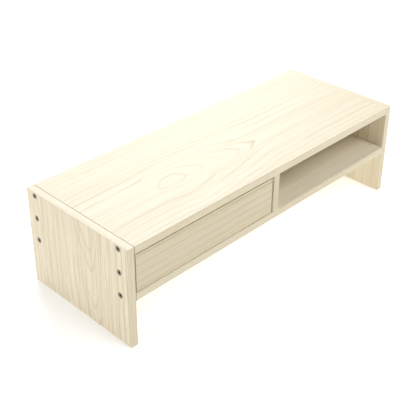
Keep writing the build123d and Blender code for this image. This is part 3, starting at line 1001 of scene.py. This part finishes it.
class RISER_OT_dowels(bpy.types.Operator):
    """Fluted beech dowels in the joints"""

    bl_idname = "riser.dowels"
    bl_label = "Dowels"

    def execute(self, context):
        beech("beech_dowel_plain", "Z", light=(0.64, 0.44, 0.26), dark=(0.55, 0.36, 0.20))
        r = DOWEL_RADIUS
        for node in ("top_panel_dowels", "shelf_dowels"):
            low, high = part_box(node)
            middle = (low.z + high.z) / 2
            xs = (low.x + LONG_DOWEL / 2, high.x - LONG_DOWEL / 2)
            places = [((x, y, middle), (1, 0, 0)) for x in xs for y in (low.y + r, high.y - r)]
            dowel_piece(node.replace("dowels", "pins"), node, LONG_DOWEL, places, STAND)
        low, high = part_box("divider_dowels")
        middle = (low + high) / 2
        places = [((middle.x, y, middle.z), (0, 0, 1)) for y in (low.y + r, high.y - r)]
        dowel_piece("divider_pins", "divider_dowels", SHORT_DOWEL, places, STAND)
        low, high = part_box("drawer_front_dowels")
        middle = (low.y + high.y) / 2
        xs, zs = (low.x + r, high.x - r), (low.z + r, high.z - r)
        places = [((x, middle, z), (0, 1, 0)) for x in xs for z in zs]
        dowel_piece("drawer_front_pins", "drawer_front_dowels", SHORT_DOWEL, places, DRAWER)
        low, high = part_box("drawer_back_dowels")
        middle = (low.y + high.y) / 2
        xs, zs = (low.x + SHORT_DOWEL / 2, high.x - SHORT_DOWEL / 2), (low.z + r, high.z - r)
        places = [((x, middle, z), (1, 0, 0)) for x in xs for z in zs]
        dowel_piece("drawer_back_pins", "drawer_back_dowels", SHORT_DOWEL, places, DRAWER)
        return {"FINISHED"}


class RISER_OT_foot_pads(bpy.types.Operator):
    """Thin clear pads under the side panels"""

    bl_idname = "riser.foot_pads"
    bl_label = "Foot pads"

    def execute(self, context):
        low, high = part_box("foot_pads")
        xs, ys = (low.x + PAD_RADIUS, high.x - PAD_RADIUS), (low.y + PAD_RADIUS, high.y - PAD_RADIUS)
        places = [((x, y, low.z), (0, 0, 1)) for x in xs for y in ys]
        points, faces = placed(*pad_surface(PAD_RADIUS, high.z - low.z), places)
        piece = mesh_piece("clear_foot_pads", points, faces, clear_pad("clear_pad_milky"), smooth_below=60.0)
        hand_over(piece, "foot_pads", STAND)
        return {"FINISHED"}


# ---------------------------------------------------------------- stage


# Square lights, as (name, place in metres, side in metres, power in watts), aimed at the middle of the riser.
LIGHTS = (
    ("light_above", (0.0, 0.2, 2.2), 1.8, 11.5),
    ("light_behind", (1.15, 1.6, 1.5), 1.6, 46.0),
    ("light_left", (-2.2, 0.4, 0.9), 1.4, 16.5),
    ("light_right", (1.8, -1.5, 0.9), 1.2, 4.0),
    ("light_front", (0.3, -1.5, 2.0), 1.0, 23.0),
)
LIGHTS_AIM = (0, 0, 0.1)
FLOOR_REACH = 6.0


def soft_light(name, place, size, power):
    """A square area light at a place, aimed at the middle of the riser."""
    data = bpy.data.lights.new(name, "AREA")
    data.shape, data.size, data.energy = "SQUARE", size, power
    light = bpy.data.objects.new(name, data)
    light.location = place
    light.rotation_mode = "QUATERNION"
    light.rotation_quaternion = (Vector(place) - Vector(LIGHTS_AIM)).to_track_quat("Z", "Y")
    bpy.context.scene.collection.objects.link(light)


def pale_surroundings(horizon, zenith):
    """Even light from all round: one strength up to about 3 degrees, and a weaker one from about 20 degrees.
    From Min and From Max are the sines of those angles."""
    world = bpy.data.worlds.new("pale_surroundings")
    world.use_nodes = True
    tree = world.node_tree
    direction = tree.nodes.new("ShaderNodeTexCoord").outputs["Generated"]
    split = tree.nodes.new("ShaderNodeSeparateXYZ")
    tree.links.new(direction, split.inputs["Vector"])
    rise = tree.nodes.new("ShaderNodeMapRange")
    rise.interpolation_type = "SMOOTHSTEP"
    tree.links.new(split.outputs["Z"], rise.inputs["Value"])
    for socket, value in (("From Min", 0.05), ("From Max", 0.35), ("To Min", horizon), ("To Max", zenith)):
        rise.inputs[socket].default_value = value
    background = tree.nodes["Background"]
    background.inputs["Color"].default_value = (1.0, 1.0, 1.0, 1.0)
    tree.links.new(rise.outputs["Result"], background.inputs["Strength"])
    return world


class RISER_OT_stage(bpy.types.Operator):
    """Pale floor, even white surroundings, soft lights and the camera"""

    bl_idname = "riser.stage"
    bl_label = "Stage"

    def execute(self, context):
        settings = context.scene.riser_stage
        corners = FLOOR_REACH * np.array([(-1, -1, 0), (1, -1, 0), (1, 1, 0), (-1, 1, 0)])
        floor = mesh_piece("floor", corners, [(0, 1, 2, 3)], matt_floor("floor_pale", settings.floor_glow))

        context.scene.world = pale_surroundings(settings.horizon, settings.zenith)
        context.scene.view_settings.view_transform = "Standard"

        for light in LIGHTS:
            soft_light(*light)

        data = bpy.data.cameras.new("camera")
        camera = bpy.data.objects.new("camera", data)
        context.scene.collection.objects.link(camera)
        data.sensor_width, data.lens = 36.0, settings.lens
        data.shift_x, data.shift_y = settings.shift
        data.clip_start, data.clip_end = 50 * MM, 50.0
        az, el = settings.azimuth, settings.elevation
        back = Vector((np.sin(az) * np.cos(el), -np.cos(az) * np.cos(el), np.sin(el)))
        camera.location = settings.place
        camera.rotation_mode = "QUATERNION"
        camera.rotation_quaternion = (-back).to_track_quat("-Z", "Y")
        context.scene.camera = camera
        return {"FINISHED"}


# ---------------------------------------------------------------- sidebar


OPERATORS = (
    RISER_OT_side_panels,
    RISER_OT_top_panel,
    RISER_OT_shelf_and_divider,
    RISER_OT_drawer_boards,
    RISER_OT_runners,
    RISER_OT_banding,
    RISER_OT_screws,
    RISER_OT_dowels,
    RISER_OT_foot_pads,
    RISER_OT_stage,
)
SETTINGS = {"riser_decor": RiserDecor, "riser_fittings": RiserFittings, "riser_stage": RiserStage}


class RISER_PT_sidebar(bpy.types.Panel):
    """Settings and steps of the riser"""

    bl_idname = "RISER_PT_sidebar"
    bl_label = "Monitor riser"
    bl_space_type = "VIEW_3D"
    bl_region_type = "UI"
    bl_category = "Riser"

    def draw(self, context):
        for key, group in SETTINGS.items():
            box = self.layout.box()
            box.label(text=key.replace("riser_", "").capitalize())
            for name in group.__annotations__:
                box.prop(getattr(context.scene, key), name)
        for operator in OPERATORS:
            self.layout.operator(operator.bl_idname)


def register():
    for cls in (*SETTINGS.values(), *OPERATORS, RISER_PT_sidebar):
        bpy.utils.register_class(cls)
    for key, group in SETTINGS.items():
        setattr(bpy.types.Scene, key, PointerProperty(type=group))


def unregister():
    for key in SETTINGS:
        delattr(bpy.types.Scene, key)
    for cls in reversed((*SETTINGS.values(), *OPERATORS, RISER_PT_sidebar)):
        bpy.utils.unregister_class(cls)


def main():
    register()
    for operator in OPERATORS:
        group, name = operator.bl_idname.split(".")
        getattr(getattr(bpy.ops, group), name)()


if __name__ == "__main__":
    main()
